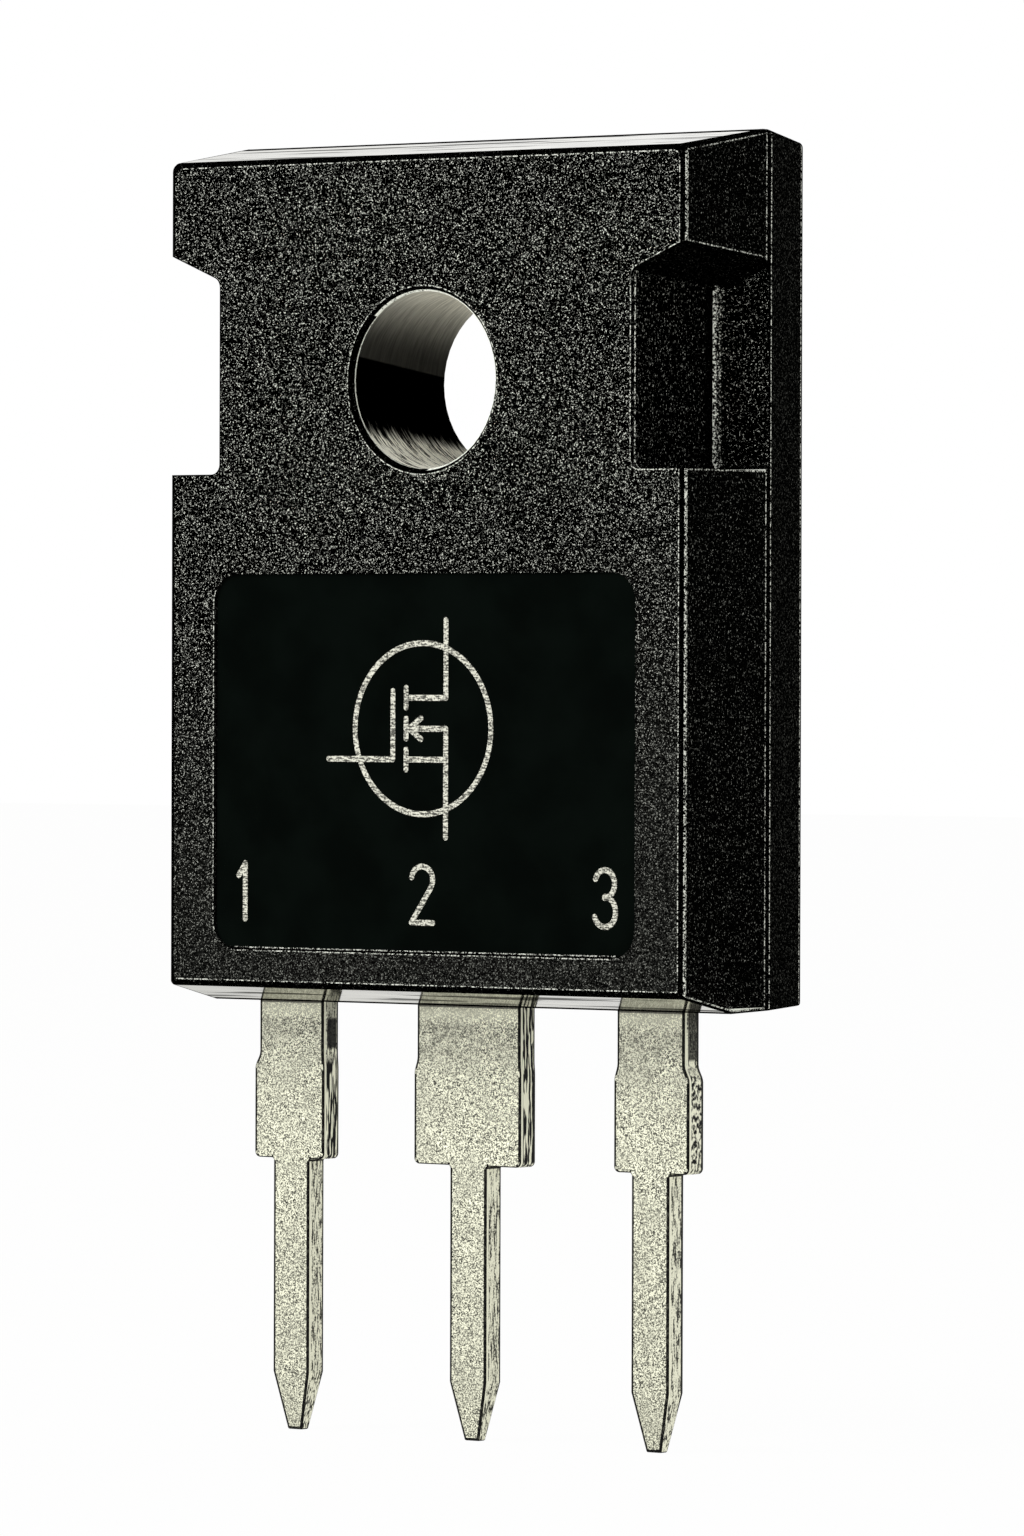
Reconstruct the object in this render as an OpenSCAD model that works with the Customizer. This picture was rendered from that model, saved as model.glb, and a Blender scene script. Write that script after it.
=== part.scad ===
// Three-lead power transistor in a moulded body with a screw hole.
// The origin lies on the screw hole's axis, in the plane of the metal tab.
// +Z points out of the marked face, +Y towards the screw hole end, leads run towards -Y.

/* [Moulded body] */
// Width of the body across its side ridges
body_w = 15.87; // [15.4:0.01:16.6]
// Height of the body from its bottom ridge to its top ridge
body_h = 20.95; // [20.6:0.05:22]
// Thickness from the tab face to the marked face
body_t = 5.02; // [4.8:0.01:5.6]
// Distance from the screw hole's axis to the top ridge
hole_from_top = 5.9; // [5.6:0.05:6.2]
// Height of the side and top ridges above the tab face
ridge_z = 1.85; // [1.6:0.05:2.2]
// Width of the flat land along the ridges
ridge_land = 0.16; // [0.06:0.02:0.3]
// How far the marked face lies inside the side ridges
front_side_in = 0.19; // [0.05:0.01:0.4]
// How far the marked face lies inside the top ridge
front_top_in = 0.5; // [0.1:0.01:0.7]
// How far the marked face lies inside the bottom ridge
front_bottom_in = 0.42; // [0.1:0.01:0.6]
// How far the tab face lies inside the side ridges
back_side_in = 0.34; // [0.05:0.01:0.5]
// How far the tab face lies inside the top ridge
back_top_in = 0.22; // [0.05:0.01:0.5]
// How far the tab face lies inside the bottom ridge
back_bottom_in = 0.11; // [0.05:0.01:0.5]
// Radius of the upper corners at the ridges
ridge_corner_r = 0.15; // [0.06:0.01:0.8]
// Radius of the upper corners at the marked face
front_corner_r = 0.2; // [0.06:0.01:0.8]
// Radius of the lower corners
bottom_corner_r = 0.08; // [0.04:0.01:0.8]
// Rounding of the edge round the marked face
front_edge_r = 0.12; // [0.05:0.01:0.25]

/* [Screw hole] */
// Bore of the screw hole
hole_d = 4.26; // [3.2:0.02:4.6]
// Width of the chamfer at the hole's front edge
hole_lip = 0.12; // [0.04:0.01:0.2]
// Depth of the moulded ring below the tab face
ring_recess = 1.35; // [0.1:0.05:1.4]

/* [Side notches] */
// Width of a notch where its floor meets its wall, from the ridge inwards
notch_in = 1.53; // [1:0.01:1.8]
// How far a notch's inner wall moves inwards from floor to marked face
notch_wall_inset = 0.2; // [0.05:0.01:0.4]
// Distance of a notch's lower ledge below the screw hole's axis
notch_bottom = 2.2; // [1.8:0.05:2.6]
// Distance of a notch's upper inner corner above the screw hole's axis
notch_top = 2.6; // [2:0.05:2.8]
// Angle at which a notch's upper face rises towards the side
notch_rise = 21; // [5:1:30]
// How far a notch's upper face moves up from floor to marked face
notch_top_shift = 0.33; // [0.05:0.01:0.4]
// Radius in a notch's inner corners
notch_r = 0.25; // [0.1:0.01:0.4]
// Bevel between a notch's floor and its walls
notch_bevel = 0.14; // [0.05:0.01:0.2]

/* [Marking panel] */
// Width of the sunken marking panel
panel_w = 12.72; // [8:0.01:13.5]
// Distance from the panel's lower edge to the bottom ridge
panel_from_bottom = 1.3; // [1:0.05:2]
// Distance from the panel's upper edge to the screw hole
panel_from_hole = 2.5; // [1.5:0.05:4]
// Corner radius of the panel
panel_r = 0.7; // [0.2:0.05:1.5]
// Depth of the panel
panel_depth = 0.08; // [0.03:0.01:0.2]

/* [Leads] */
// Distance between neighbouring leads
lead_pitch = 5.44; // [5.2:0.01:5.6]
// Height of the leads' back face above the tab face
lead_z = 2.5; // [2.4:0.01:2.7]
// Sheet thickness of the leads
lead_t = 0.6; // [0.5:0.01:0.75]
// Length of the leads below the body
lead_len = 10.5; // [8:0.1:20]
// Width of a pin
pin_w = 1.1; // [1:0.01:1.3]
// Length of the wide part next to the body
wide_len = 3.85; // [3:0.05:4.5]
// Width of the wide part of the outer leads
outer_wide_w = 1.98; // [1.8:0.01:2.4]
// Width of the wide part of the middle lead
middle_wide_w = 3.12; // [2.8:0.01:3.4]
// Distance from the body to the cut stub of the tie bar
stub_from_body = 1.25; // [0.8:0.05:2.4]
// Length over which a stub swells out of its lead
stub_len = 0.42; // [0.1:0.02:0.8]
// Stub left on the leads' left edges, from left lead to right lead
stub_left = [0.15, 0.09, 0.09];
// Stub left on the leads' right edges, from left lead to right lead
stub_right = [0.02, 0.02, 0.14];
// Corner radius at the end of the wide part
shoulder_r = 0.14; // [0.05:0.01:0.3]
// Length of the tapered tip
tip_len = 1.42; // [0.8:0.01:2]
// Width of the tip's end
tip_w = 0.43; // [0.2:0.01:0.8]
// Thickness of the tip's end
tip_t = 0.26; // [0.15:0.01:0.5]

/* [Metal tab] */
// Width of the tab's bare face
tab_w = 13.3; // [12:0.05:13.6]
// Distance from the top ridge to the tab's bare face
tab_from_top = 1.19; // [1:0.01:1.4]
// Distance from the bottom ridge to the tab's bare face
tab_from_bottom = 3.21; // [3:0.01:3.6]
// Thickness of the tab
tab_t = 2; // [1.8:0.05:2.1]
// Corner radius of the tab
tab_r = 0.5; // [0.2:0.05:0.8]
// Opening in the tab round the screw hole
tab_hole_d = 7.2; // [6.6:0.05:7.4]
// Step by which the tab's inner flange grips the moulding
lock_step = 0.3; // [0.1:0.01:0.35]
// Thickness of the tab's inner flange
lock_t = 0.5; // [0.3:0.05:0.6]
// Moulding between a side notch and the tab's flange
notch_cover = 0.55; // [0.3:0.05:0.9]
// Length of the slope by which the middle lead rises from the tab
jog_len = 0.9; // [0.6:0.05:1.2]
// Length of the middle lead's flat start below the tab's bare face
jog_start = 0.4; // [0.32:0.02:0.6]

/* [Bond posts] */
// Reach of the source lead's post from its inner end to the lead's outer edge
source_post_w = 4.2; // [3.6:0.05:4.4]
// Reach of the gate lead's post from its inner end to the lead's outer edge
gate_post_w = 2.9; // [2.4:0.05:4.2]
// Height of both posts
post_h = 1.45; // [1.2:0.05:1.6]
// Distance from the body's bottom ridge to the posts' lower edge
post_from_bottom = 1.15; // [1:0.05:1.3]
// Diameter of the hole that anchors an outer lead in the moulding
anchor_d = 0.7; // [0.4:0.05:1]

/* [Chip] */
// Width of the silicon chip
die_w = 8; // [6:0.1:9]
// Distance from the chip to the tab's opening round the screw hole
die_from_hole = 1.54; // [0.6:0.02:3]
// Thickness of the silicon chip
die_t = 0.28; // [0.15:0.01:0.4]
// Distance from the tab's lower edge to the chip
die_from_tab_end = 0.9; // [0.5:0.05:1.2]
// Thickness of the solder under the chip
solder_t = 0.06; // [0.03:0.01:0.12]
// Margin of solder round the chip
solder_margin = 0.12; // [0.05:0.01:0.3]

/* [Bond wires] */
// Number of bond wires on the source lead
source_wires = 4; // [1:1:4]
// Distance between the source wires
wire_pitch = 1; // [0.8:0.05:1.05]
// Diameter of a source wire
source_wire_d = 0.4; // [0.25:0.01:0.5]
// Diameter of the gate wire
gate_wire_d = 0.2; // [0.1:0.01:0.3]
// Distance from the chip's right edge to the last source wire
source_foot_in = 0.7; // [0.4:0.05:1.2]
// Distance from the chip's lower edge to the source wires' feet
source_foot_up = 1.9; // [1:0.05:3]
// Distance from the chip's left and lower edges to the gate wire's foot
gate_foot_in = 0.65; // [0.4:0.05:1.2]
// Height of a source wire's loop above a straight line
source_rise = 1; // [0.6:0.05:1.1]
// Height of the gate wire's loop above a straight line
gate_rise = 0.75; // [0.4:0.05:1]

/* [Hidden] */
// Derived places on the body
top_y = hole_from_top;
bottom_y = top_y - body_h;
lead_front_z = lead_z + lead_t;
panel_y = bottom_y + panel_from_bottom;
panel_h = -hole_d / 2 - panel_from_hole - panel_y;
slice_t = 0.01;
overshoot = 1;

// Derived places on the notches, where the floor lies on the side ridge's plane
notch_floor_x = body_w / 2 - notch_in;
notch_outer_top = notch_top + notch_in * tan(notch_rise);

// Derived places on the leads
stub_y = bottom_y - stub_from_body;
shoulder_y = bottom_y - wide_len;
tip_y = bottom_y - lead_len;
taper_y = tip_y + tip_len;

// Derived places on the tab
tab_top_y = top_y - tab_from_top;
tab_end_y = bottom_y + tab_from_bottom;
jog_y = tab_end_y - jog_start;
tab_notch_x = notch_floor_x - notch_cover - lock_step;
tab_notch_margin = 0.75;

// Derived places on the chip, the posts and the wires
post_y = bottom_y + post_from_bottom;
post_r = 0.25;
die_y = tab_end_y + die_from_tab_end;
die_h = -tab_hole_d / 2 - die_from_hole - die_y;
die_z = tab_t + solder_t;
die_top_z = die_z + die_t;
source_post_x = lead_pitch + outer_wide_w / 2 - source_post_w;
gate_post_x = -lead_pitch - outer_wide_w / 2 + gate_post_w;
post_foot_y = post_y + post_h * 0.62;
post_edge = 0.55;

$fn = 64;

// How far a face that leaves a ridge has moved inwards at height z
function inset(z, ridge, back_in, front_in) =
    z > ridge ? front_in * (z - ridge) / (body_t - ridge) : back_in * (ridge - z) / ridge;

// Radius of the body's upper corners at height z
function corner_r(z) = ridge_corner_r + (front_corner_r - ridge_corner_r) * max(0, z - ridge_z) / (body_t - ridge_z);

function arc(x, y, r, from, to, steps = 6) =
    [for (i = [0:steps]) [x + r * cos(from + (to - from) * i / steps), y + r * sin(from + (to - from) * i / steps)]];

// Swelling of a lead's edge at x into a stub that reaches out by reach, from the top down
function swell(x, reach, steps = 6) =
    [for (i = [0:steps]) [x + reach * (1 - cos(180 * i / steps)) / 2, stub_y - stub_len * i / steps]];

function backwards(points) = [for (i = [len(points) - 1:-1:0]) points[i]];

// Draws a profile given in Y and Z, and carries it along X
module along_x(width) {
    rotate([90, 0, 90])
        linear_extrude(height = width, center = true)
            children();
}

// Rectangle with round corners, centred in X and standing on y = 0
module rounded_rect(w, h, r) {
    translate([-w / 2 + r, 0])
        square([w - 2 * r, h]);
    translate([-w / 2, r])
        square([w, h - 2 * r]);
    for (x = [-w / 2 + r, w / 2 - r], y = [r, h - r])
        translate([x, y])
            circle(r);
}

// One thin slice of the body's blank at height z, with all its faces moved in by edge_in
module body_slice(z, thick, edge_in) {
    x = body_w / 2 - inset(z, ridge_z, back_side_in, front_side_in) - edge_in;
    top = [top_y - inset(z, ridge_z, back_top_in, front_top_in) - edge_in, corner_r(z)];
    bottom = [bottom_y + inset(z, lead_front_z, back_bottom_in, front_bottom_in) + edge_in, bottom_corner_r];
    for (side = [-1, 1], end = [[top[0] - top[1], top[1]], [bottom[0] + bottom[1], bottom[1]]])
        translate([side * (x - end[1]), end[0], z - thick / 2])
            cylinder(r = end[1], h = thick, $fn = 32);
}

// Blank of the moulding: drafted both ways from its ridges, with the front edge rounded
module body_blank() {
    hull() {
        body_slice(slice_t / 2, slice_t, 0);
        body_slice(ridge_z, ridge_land, 0);
        body_slice(lead_front_z, slice_t, 0);
        for (a = [0, 30, 60, 90])
            body_slice(body_t - slice_t / 2 - front_edge_r * (1 - sin(a)), slice_t, front_edge_r * (1 - cos(a)));
    }
}

// Cutter of one side notch on the right, open to the side and to the front
module notch_cutter() {
    outer = body_w / 2 + overshoot;
    hull()
        for (level = [[0, notch_bevel], [notch_bevel, 0], [body_t - ridge_z, 0]]) {
            s = level[0] / (body_t - ridge_z);
            x = notch_floor_x - s * notch_wall_inset + level[1];
            top = notch_top - (1 - s) * notch_top_shift - level[1];
            low = level[1] - notch_bottom;
            z = ridge_z + level[0];
            for (y = [low + notch_r, top - notch_r])
                translate([x + notch_r, y, z])
                    cylinder(r = notch_r, h = slice_t, $fn = 32);
            translate([outer, low, z])
                cube([slice_t, top - low + (outer - x) * tan(notch_rise), slice_t]);
        }
}

module moulded_body() {
    color([0.11, 0.11, 0.11])
        difference() {
            body_blank();
            translate([0, 0, -overshoot])
                cylinder(d = hole_d, h = body_t + 2 * overshoot);
            translate([0, 0, body_t - hole_lip])
                cylinder(d1 = hole_d, d2 = hole_d + 4 * hole_lip, h = 2 * hole_lip);
            translate([0, 0, -overshoot])
                cylinder(d = tab_hole_d, h = overshoot + ring_recess);
            notch_cutter();
            mirror([1, 0, 0])
                notch_cutter();
            translate([0, panel_y, body_t - panel_depth])
                linear_extrude(height = overshoot)
                    rounded_rect(panel_w, panel_h, panel_r);
            enclosed_pieces();
        }
}

// Outline of a lead below the height y_end: wide part, tie bar stubs, shoulder, pin and tip
module lead_outline(x, wide_w, left, right, y_end) {
    translate([x, 0])
        polygon(concat(
            [[-tip_w / 2, tip_y], [tip_w / 2, tip_y], [pin_w / 2, taper_y]],
            arc(pin_w / 2 + shoulder_r / 2, shoulder_y - shoulder_r / 2, shoulder_r / 2, 180, 90, 3),
            arc(wide_w / 2 + right - shoulder_r, shoulder_y + shoulder_r, shoulder_r, -90, 0),
            backwards(swell(wide_w / 2, right)),
            [[wide_w / 2, y_end], [-wide_w / 2, y_end]],
            swell(-wide_w / 2, -left),
            arc(-wide_w / 2 - left + shoulder_r, shoulder_y + shoulder_r, shoulder_r, 180, 270),
            arc(-pin_w / 2 - shoulder_r / 2, shoulder_y - shoulder_r / 2, shoulder_r / 2, 90, 0, 3),
            [[-pin_w / 2, taper_y]]
        ));
}

// Side view of a straight lead up to the height y_end, thinned towards its tip
module lead_profile(y_end) {
    mid = lead_z + lead_t / 2;
    polygon([[tip_y, mid - tip_t / 2], [taper_y, lead_z], [y_end, lead_z],
             [y_end, lead_front_z], [taper_y, lead_front_z], [tip_y, mid + tip_t / 2]]);
}

// Outer lead with a post inside the moulding that runs from its outer edge to inner_x
module outer_lead(x, left, right, inner_x) {
    side = sign(x);
    outer_x = x + side * outer_wide_w / 2;
    width = abs(outer_x - inner_x);
    difference() {
        intersection() {
            linear_extrude(height = body_t)
                union() {
                    lead_outline(x, outer_wide_w, left, right, post_y + post_h / 2);
                    translate([(outer_x + inner_x) / 2, post_y])
                        rounded_rect(width, post_h, post_r);
                }
            along_x(2 * body_w)
                lead_profile(post_y + post_h);
        }
        translate([x, (bottom_y + post_y) / 2, 0])
            cylinder(d = anchor_d, h = body_t);
    }
}

module gate_lead() {
    color([0.78, 0.77, 0.71])
        outer_lead(-lead_pitch, stub_left[0], stub_right[0], gate_post_x);
}

module source_lead() {
    color([0.78, 0.77, 0.71])
        outer_lead(lead_pitch, stub_left[2], stub_right[2], source_post_x);
}

// Outline of the tab, grown by g for its flange, with cut-ins beside the side notches
module tab_outline(g) {
    y0 = -notch_bottom - tab_notch_margin + g;
    y1 = notch_outer_top + tab_notch_margin - g;
    difference() {
        translate([0, tab_end_y - g])
            rounded_rect(tab_w + 2 * g, tab_top_y - tab_end_y + 2 * g, tab_r + g);
        for (side = [-1, 1])
            translate([side * (tab_notch_x + g + body_w / 2), y0])
                rounded_rect(body_w, y1 - y0, tab_r);
        circle(d = tab_hole_d - 2 * g);
    }
}

// Side view of the middle lead, which starts as the tab's top layer and rises to the leads' plane
module middle_profile() {
    low = tab_t - lead_t;
    mid = lead_z + lead_t / 2;
    overlap_y = tab_end_y + tab_r + lock_step;
    polygon([[tip_y, mid - tip_t / 2], [taper_y, lead_z], [jog_y - jog_len, lead_z], [jog_y, low],
             [overlap_y, low], [overlap_y, tab_t], [jog_y - lead_t / 4, tab_t],
             [jog_y - jog_len - lead_t / 4, lead_front_z], [taper_y, lead_front_z], [tip_y, mid + tip_t / 2]]);
}

module drain_leadframe() {
    color([0.8, 0.72, 0.66]) {
        linear_extrude(height = tab_t)
            tab_outline(0);
        translate([0, 0, tab_t - lock_t])
            linear_extrude(height = lock_t)
                tab_outline(lock_step);
        intersection() {
            linear_extrude(height = body_t)
                lead_outline(0, middle_wide_w, stub_left[1], stub_right[1], tab_end_y + body_w);
            along_x(2 * body_w)
                middle_profile();
        }
    }
}

module silicon_die() {
    color([0.45, 0.47, 0.5])
        translate([-die_w / 2, die_y, die_z])
            cube([die_w, die_h, die_t]);
}

module die_attach_solder() {
    color([0.6, 0.6, 0.62])
        translate([-die_w / 2 - solder_margin, die_y - solder_margin, tab_t])
            cube([die_w + 2 * solder_margin, die_h + 2 * solder_margin, solder_t]);
}

// Looped bond wire between the chip and a post, with a flattened foot at each end
module bond_wire(start, end, d, rise) {
    run = norm(end - start);
    climb = lead_front_z - die_top_z;
    chord = norm([run, climb]);
    tilt = atan2(climb, run);
    radius = (chord * chord / 4 + rise * rise) / (2 * rise);
    half = asin(chord / (2 * radius));
    drop = radius - rise;
    foot = [2.4 * d, 1.3 * d, 0.5 * d];
    color([0.82, 0.83, 0.85])
        translate([start[0], start[1], 0])
            rotate([0, 0, atan2(end[1] - start[1], end[0] - start[0])]) {
                translate([run / 2 + drop * sin(tilt), 0, die_top_z + d / 2 + climb / 2 - drop * cos(tilt)])
                    rotate([90, 0, 0])
                        rotate([0, 0, 90 + tilt - half])
                            rotate_extrude(angle = 2 * half)
                                translate([radius, 0])
                                    circle(d = d, $fn = 32);
                translate([-foot[0] / 2, -foot[1] / 2, die_top_z])
                    cube(foot);
                translate([run - foot[0] / 2, -foot[1] / 2, lead_front_z])
                    cube(foot);
            }
}

// Source wire number i, counted from the chip's right edge
module source_bond_wire(i) {
    from_x = die_w / 2 - source_foot_in - i * wire_pitch;
    to_x = source_post_x + source_post_w - post_edge - i * wire_pitch;
    bond_wire([from_x, die_y + source_foot_up], [to_x, post_foot_y], source_wire_d, source_rise);
}

module gate_bond_wire() {
    bond_wire([-die_w / 2 + gate_foot_in, die_y + gate_foot_in], [gate_post_x - post_edge, post_foot_y],
              gate_wire_d, gate_rise);
}

// Everything that the moulding closes round, face to face
module enclosed_pieces() {
    drain_leadframe();
    gate_lead();
    source_lead();
    silicon_die();
    die_attach_solder();
    gate_bond_wire();
    for (i = [0:source_wires - 1])
        source_bond_wire(i);
}

moulded_body();
drain_leadframe();
gate_lead();
source_lead();
silicon_die();
die_attach_solder();
gate_bond_wire();
source_bond_wire(0);  // source_bond_wire_1
source_bond_wire(1);  // source_bond_wire_2
source_bond_wire(2);  // source_bond_wire_3
source_bond_wire(3);  // source_bond_wire_4
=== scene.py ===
import math
import bmesh
import bpy
import numpy as np
from mathutils import Matrix, Vector


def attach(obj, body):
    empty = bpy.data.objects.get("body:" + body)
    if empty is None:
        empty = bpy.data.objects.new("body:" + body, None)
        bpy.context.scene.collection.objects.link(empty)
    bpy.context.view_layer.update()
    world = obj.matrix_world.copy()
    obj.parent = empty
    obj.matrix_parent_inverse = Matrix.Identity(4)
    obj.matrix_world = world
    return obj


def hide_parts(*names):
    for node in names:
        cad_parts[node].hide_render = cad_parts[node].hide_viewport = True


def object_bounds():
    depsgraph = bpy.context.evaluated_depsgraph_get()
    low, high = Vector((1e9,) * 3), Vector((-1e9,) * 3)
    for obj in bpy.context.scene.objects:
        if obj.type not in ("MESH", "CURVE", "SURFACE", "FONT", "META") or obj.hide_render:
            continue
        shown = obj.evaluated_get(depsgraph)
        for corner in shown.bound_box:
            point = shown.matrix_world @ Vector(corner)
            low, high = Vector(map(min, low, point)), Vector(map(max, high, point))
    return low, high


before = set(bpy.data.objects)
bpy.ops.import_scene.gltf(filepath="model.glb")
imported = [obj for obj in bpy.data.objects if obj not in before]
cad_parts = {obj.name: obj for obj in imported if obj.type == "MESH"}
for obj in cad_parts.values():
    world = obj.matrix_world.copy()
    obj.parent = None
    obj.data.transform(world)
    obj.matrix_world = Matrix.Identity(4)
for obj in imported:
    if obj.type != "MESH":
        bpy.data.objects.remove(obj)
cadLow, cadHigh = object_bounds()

# A three-lead power transistor in its moulded case, seen from its front right, standing on its leads.
# Everything is in metres in the frame of the CAD model: +Z out of the marked face, +Y towards the screw hole.
# The dictionary beside each piece holds what is worth changing, with its lengths in millimetres.

mm = 0.001
scene = bpy.context.scene
scene.view_settings.view_transform = "Standard"


# The camera, fitted to the edges of the part.
view = {
    "yaw": 37.001,  # degrees to the right of the marked face
    "pitch": 0.609,  # degrees above the middle of the part
    "roll": 0.161,
    "distance": 224.114,
    "lens": 217.38,  # focal length for the picture height below
    "pictureHeight": 36,
    "target": (0.536, -9.306, 2.096),
    "clip": (10, 10000),
}


def makeCamera(s):
    # turned right and up round the target, then rolled about its own line of sight
    yaw, pitch, roll = (math.radians(s[k]) for k in ("yaw", "pitch", "roll"))
    right = np.array([math.cos(yaw), 0, -math.sin(yaw)])
    up = np.array([0.0, 1, 0])
    back = np.array([math.sin(yaw), 0, math.cos(yaw)])
    up, back = up * math.cos(pitch) - back * math.sin(pitch), back * math.cos(pitch) + up * math.sin(pitch)
    right, up = right * math.cos(roll) + up * math.sin(roll), up * math.cos(roll) - right * math.sin(roll)
    place = (np.array(s["target"]) + back * s["distance"]) * mm
    data = bpy.data.cameras.new("viewCamera")
    data.lens, data.sensor_width = s["lens"], s["pictureHeight"]
    data.clip_start, data.clip_end = (v * mm for v in s["clip"])
    camera = bpy.data.objects.new("viewCamera", data)
    scene.collection.objects.link(camera)
    turned = np.column_stack([right, up, back, place])
    camera.matrix_world = Matrix([*turned.tolist(), [0, 0, 0, 1]])
    scene.camera = camera


makeCamera(view)
print("camera placed")


# The materials. They read Object coordinates in millimetres.
class Wire:
    # An output of a node. The signs of Python's own maths on it add Math nodes.
    def __init__(self, tree, socket=None):
        self.tree, self.socket = tree, socket

    def add(self, kind, settings=None, inputs=None, out=0):
        # any other node: its type, its settings, then the values or wires of its inputs
        node = self.tree.nodes.new(kind)
        for key, value in (settings or {}).items():
            setattr(node, key, value)
        for key, value in (inputs or {}).items():
            if isinstance(value, Wire):
                self.tree.links.new(value.socket, node.inputs[key])
            else:
                node.inputs[key].default_value = value
        return Wire(self.tree, node.outputs[out])

    def maths(self, operation, a, b=0.0):
        return self.add("ShaderNodeMath", {"operation": operation}, {0: a, 1: b})

    def __add__(self, other):
        return self.maths("ADD", self, other)

    def __radd__(self, other):
        return self.maths("ADD", other, self)

    def __sub__(self, other):
        return self.maths("SUBTRACT", self, other)

    def __rsub__(self, other):
        return self.maths("SUBTRACT", other, self)

    def __mul__(self, other):
        return self.maths("MULTIPLY", self, other)

    def __rmul__(self, other):
        return self.maths("MULTIPLY", other, self)

    def __pow__(self, other):
        return self.maths("POWER", self, other)

    def __abs__(self):
        return self.maths("ABSOLUTE", self)

    def step(self, low, high, kind="SMOOTHSTEP"):
        # rise from 0 at low to 1 at high, smooth or with kind LINEAR straight
        return self.add("ShaderNodeMapRange", {"interpolation_type": kind},
                        {"Value": self, "From Min": low, "From Max": high})

    def mix(self, a, b):
        # colour a where this wire is 0 and colour b where it is 1
        return self.add("ShaderNodeMix", {"data_type": "RGBA"},
                        {"Factor": self, 6: a if isinstance(a, Wire) else (*a, 1),
                         7: b if isinstance(b, Wire) else (*b, 1)}, out=2)

    def tones(self, low, high, tint=(1, 1, 1)):
        # screen level low where this wire is 0 and level high where it is 1, in one tint
        return self.mix(grey(low, tint), grey(high, tint))


def grey(level, tint=(1, 1, 1)):
    # a colour from its 0 to 255 screen level
    c = level / 255
    linear = c / 12.92 if c <= 0.04045 else ((c + 0.055) / 1.055) ** 2.4
    return tuple(linear * t for t in tint)


def newMaterial(name):
    # a material with its shader, a wire to add nodes with and the place on the piece in millimetres
    material = bpy.data.materials.new(name)
    material.use_nodes = True
    tree = material.node_tree
    shader = tree.nodes["Principled BSDF"]
    w = Wire(tree)
    place = w.add("ShaderNodeTexCoord", out=3)
    place = w.add("ShaderNodeVectorMath", {"operation": "SCALE"}, {0: place, "Scale": 1 / mm})
    return material, shader, w, place


def noise(w, place, size, detail=2.0, roughness=0.5, stretch=None):
    # size is the width of one patch; stretch lengthens the patches along x, y and z
    if stretch:
        place = w.add("ShaderNodeVectorMath", {"operation": "DIVIDE"}, {0: place, 1: stretch})
    return w.add("ShaderNodeTexNoise", inputs={"Vector": place, "Scale": 1 / size, "Detail": detail,
                                               "Roughness": roughness})


def fineGrain(w, place, size, stretch=None):
    # two layers of noise of this size and about half of it, so fine that hardly any larger patch shows
    coarse = noise(w, place, size, 2.0, 0.6, stretch)
    fine = noise(w, place, size * 0.55, 1.0, 0.5, stretch)
    return coarse * 0.6 + fine * 0.4


def plug(w, shader, name, value):
    # a wire or a constant into one socket of the shader
    if isinstance(value, Wire):
        w.tree.links.new(value.socket, shader.inputs[name])
    else:
        shader.inputs[name].default_value = value


def bump(w, height, strength, distance):
    # distance is in millimetres
    return w.add("ShaderNodeBump", inputs={"Height": height, "Strength": strength,
                                           "Distance": distance * mm})


def axis(w, place, number):
    # one coordinate of the place: 0 is x, 1 is y and 2 is z
    return w.add("ShaderNodeSeparateXYZ", inputs={0: place}, out=number)


# Moulding compound. grain is the size of the specks, edge the noise values between which one shows,
# power how few of them are bright, dark and light the screen levels between and on the specks.
# face is the compound's own look. side, back, pit and ledge are copies of it with dimmer or brighter
# specks, painted shade and light for the way each faces, and rim is a near black copy, painted shade
# along edges. The edge highlight, faint and glint looks are painted highlights along edges, and band is
# a painted highlight band in the notch.
plasticTint = (1, 1.03, 0.93)
plastic = {
    "face": {"grain": 0.04, "edge": (0.52, 0.635), "power": 4.9, "dark": 0, "light": 250,
             "softEdge": (0.42, 0.62), "soft": (0, 54), "softFrom": (4.0, 15.5), "softShare": 0.7,
             "cloud": 1.8, "cloudShare": 2.4, "slant": 0.25},
    "side": {"grain": 0.038, "edge": (0.53, 0.69), "power": 3.4, "dark": 2, "light": 170,
             "stretch": (1, 1.8, 1)},
    "back": {"grain": 0.038, "edge": (0.47, 0.68), "power": 3.4, "dark": 2, "light": 100,
             "stretch": (1, 1.8, 1)},
    "rim": {"grain": 0.045, "edge": (0.54, 0.7), "power": 3.0, "dark": 0, "light": 90},
    "pit": {"grain": 0.04, "edge": (0.54, 0.67), "power": 3.6, "dark": 0, "light": 190,
            "stretch": (1, 2.0, 1)},
    "ledge": {"grain": 0.048, "edge": (0.56, 0.65), "power": 3.0, "dark": 0, "light": 255},
    "bead": {"grain": 0.07, "edge": (0.46, 0.56), "power": 1.6, "dark": 2, "light": 255},
    "faint": {"grain": 0.06, "edge": (0.45, 0.58), "power": 1.8, "dark": 3, "light": 235},
    "glint": {"grain": 0.08, "edge": (0.3, 0.5), "power": 1.0, "dark": 90, "light": 255},
    "band": {"grain": 0.05, "edge": (0.48, 0.64), "power": 2.4, "dark": 2, "light": 255},
}


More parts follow.
